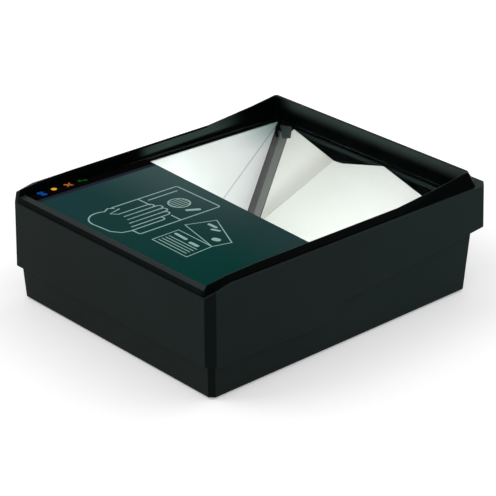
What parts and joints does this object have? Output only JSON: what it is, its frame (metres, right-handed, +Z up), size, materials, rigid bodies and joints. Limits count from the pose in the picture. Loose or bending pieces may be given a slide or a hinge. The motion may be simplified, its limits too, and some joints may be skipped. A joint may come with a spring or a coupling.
{
  "type": "passport reader",
  "caption": "Low desktop box with a glass reading window in a raised rim, a printed panel with status lights, and a light box, mirror and camera inside.",
  "frame": {"origin": "on the table, under the middle of the case", "axes": "+Z up, +Y from the front edge with the printed panel to the raised rear edge, +X to the right seen from the front"},
  "size_m": [0.154, 0.1884, 0.0658],
  "materials": {
    "case_black": "fine matt grain",
    "bezel_black": "satin",
    "rubber_black": "matt",
    "clear_glass": "polished",
    "smoked_film": "smooth",
    "teal_film": "fine grain",
    "light_guide": "clear",
    "green_board": "solder mask",
    "white_plastic": "matt white",
    "cream_plastic": "matt",
    "grey_plastic": "satin",
    "black_plastic": "matt",
    "mirror_glass": "polished",
    "light_bar": "board with warm lights",
    "dark_steel": "black coated",
    "bright_steel": "plated",
    "lens_glass": "coated",
    "bare_aluminium": "extruded",
    "grey_ribbon": "flat cable",
    "button_grey": "satin"
  },
  "bodies": {
    "case": {"antenna_board": "green_board", "base_tray": "case_black", "bezel_frame": "bezel_black", "board_screw_1": "bright_steel", "board_screw_2": "bright_steel", "board_screw_3": "bright_steel", "board_screw_4": "bright_steel", "buzzer": "black_plastic", "camera_board": "green_board", "camera_bracket": "dark_steel", "camera_ribbon": "grey_ribbon", "camera_screw_1": "bright_steel", "camera_screw_2": "bright_steel", "case_screw_1": "dark_steel", "case_screw_2": "dark_steel", "case_screw_3": "dark_steel", "case_screw_4": "dark_steel", "corner_post": "grey_plastic", "cream_reflector": "cream_plastic", "floor_mirror": "mirror_glass", "floor_reflector": "white_plastic", "foot_1": "rubber_black", "foot_2": "rubber_black", "foot_3": "rubber_black", "foot_4": "rubber_black", "front_lens": "lens_glass", "front_reflector": "white_plastic", "glass_gasket": "rubber_black", "heat_sink": "bare_aluminium", "indicator_band": "smoked_film", "indicator_board": "green_board", "label_panel": "teal_film", "left_light_bar": "light_bar", "left_mirror_rail": "black_plastic", "left_reflector": "white_plastic", "lens_barrel": "dark_steel", "lens_ring": "dark_steel", "light_guide_1": "light_guide", "light_guide_2": "light_guide", "light_guide_3": "light_guide", "light_guide_4": "light_guide", "lock_plate": "dark_steel", "main_board": "green_board", "post_hook": "black_plastic", "power_socket": "black_plastic", "power_switch": "black_plastic", "processor": "black_plastic", "rear_board": "green_board", "rear_bracket": "black_plastic", "rear_ribbon": "grey_ribbon", "rear_screw_1": "bright_steel", "rear_screw_2": "bright_steel", "right_light_bar": "light_bar", "right_mirror_rail": "black_plastic", "right_reflector": "white_plastic", "top_cover": "case_black", "usb_socket": "bright_steel", "white_reflector": "white_plastic", "window_glass": "clear_glass"},
    "button": {"power_button": "button_grey"}
  },
  "joints": [
    {"name": "button_press", "type": "slide", "parent": "case", "child": "button", "axis": [0, -1, 0], "range_m": [0, 0.0015], "stiffness_N_per_m": 600, "springref_m": -0.0005}
  ]
}
